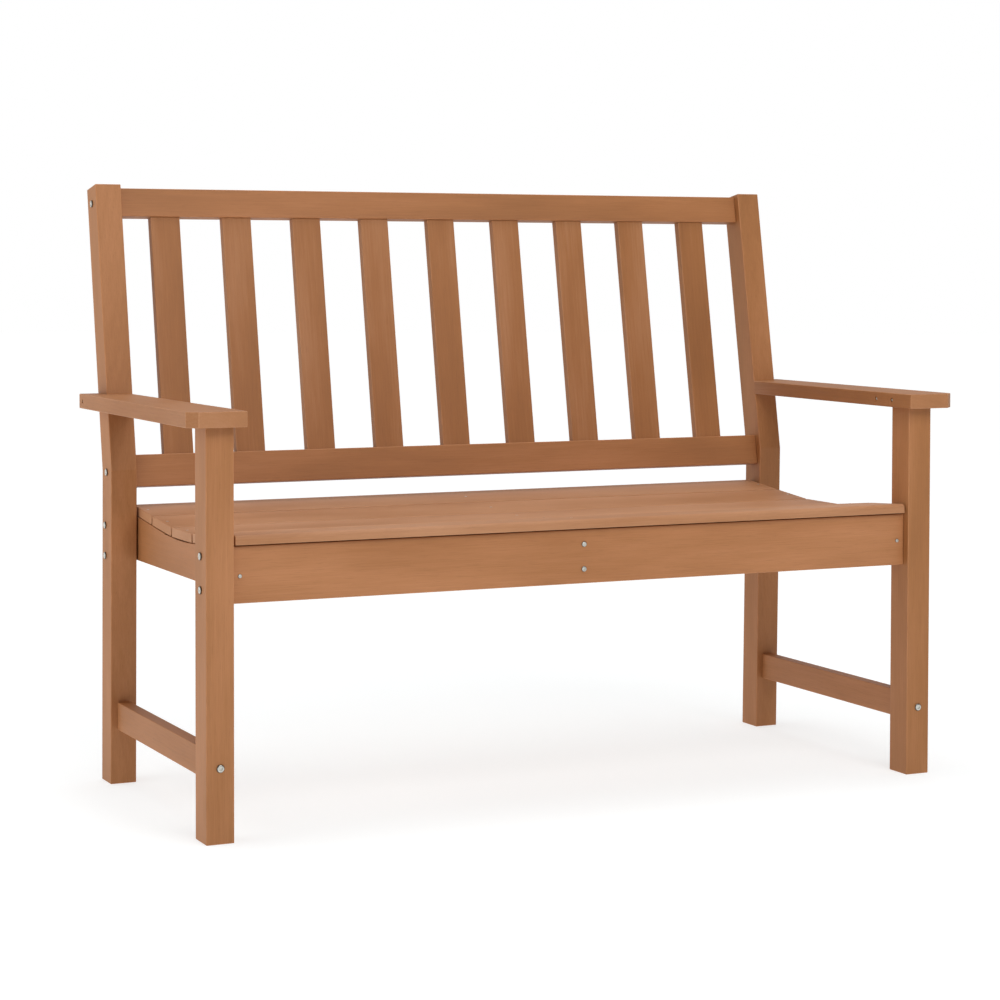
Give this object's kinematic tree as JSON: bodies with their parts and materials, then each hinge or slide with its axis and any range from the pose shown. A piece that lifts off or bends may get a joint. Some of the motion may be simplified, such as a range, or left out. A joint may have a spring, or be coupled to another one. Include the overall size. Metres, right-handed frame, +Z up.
{
  "type": "garden bench",
  "caption": "Wooden garden bench for two or three people, with a reclined slatted back, a dished slatted seat, flat armrests and a bolted leg frame.",
  "frame": {"origin": "centre of the footprint's bounding box, on the ground", "axes": "+X along the bench, to the right as seen from the front; -Y to the front, the way a sitter faces; +Z up"},
  "size_m": [1.234, 0.5826, 0.906],
  "materials": {
    "leg_wood": "satin brown stain over open grain",
    "rail_wood": "satin brown stain over open grain",
    "slat_wood": "satin brown stain over open grain",
    "fastener_steel": "zinc plated, slightly dulled"
  },
  "bodies": {
    "root": {"apron_front": "rail_wood", "apron_rear": "rail_wood", "armrest_left": "slat_wood", "armrest_right": "slat_wood", "back_rail_low": "rail_wood", "back_rail_top": "rail_wood", "back_slat_1": "slat_wood", "back_slat_2": "slat_wood", "back_slat_3": "slat_wood", "back_slat_4": "slat_wood", "back_slat_5": "slat_wood", "back_slat_6": "slat_wood", "back_slat_7": "slat_wood", "back_slat_8": "slat_wood", "back_slat_9": "slat_wood", "bolt_apron_front_left_1": "fastener_steel", "bolt_apron_front_left_2": "fastener_steel", "bolt_apron_front_right_1": "fastener_steel", "bolt_apron_front_right_2": "fastener_steel", "bolt_apron_rear_left_1": "fastener_steel", "bolt_apron_rear_left_2": "fastener_steel", "bolt_apron_rear_right_1": "fastener_steel", "bolt_apron_rear_right_2": "fastener_steel", "bolt_back_low_left": "fastener_steel", "bolt_back_low_right": "fastener_steel", "bolt_back_top_left": "fastener_steel", "bolt_back_top_right": "fastener_steel", "bolt_stretcher_front_left": "fastener_steel", "bolt_stretcher_front_right": "fastener_steel", "bolt_stretcher_rear_left": "fastener_steel", "bolt_stretcher_rear_right": "fastener_steel", "front_leg_left": "leg_wood", "front_leg_right": "leg_wood", "rear_post_left": "leg_wood", "rear_post_right": "leg_wood", "screw_apron_front_left": "fastener_steel", "screw_apron_front_right": "fastener_steel", "screw_apron_rear_left": "fastener_steel", "screw_apron_rear_right": "fastener_steel", "screw_arm_edge_left_1": "fastener_steel", "screw_arm_edge_left_2": "fastener_steel", "screw_arm_edge_right_1": "fastener_steel", "screw_arm_edge_right_2": "fastener_steel", "screw_arm_rear_left": "fastener_steel", "screw_arm_rear_right": "fastener_steel", "screw_centre_front_1": "fastener_steel", "screw_centre_front_2": "fastener_steel", "screw_centre_rear_1": "fastener_steel", "screw_centre_rear_2": "fastener_steel", "seat_slat_1": "slat_wood", "seat_slat_2": "slat_wood", "seat_slat_3": "slat_wood", "seat_slat_4": "slat_wood", "seat_slat_5": "slat_wood", "seat_support_centre": "rail_wood", "side_rail_left": "rail_wood", "side_rail_right": "rail_wood", "stretcher_left": "rail_wood", "stretcher_right": "rail_wood"}
  },
  "joints": []
}
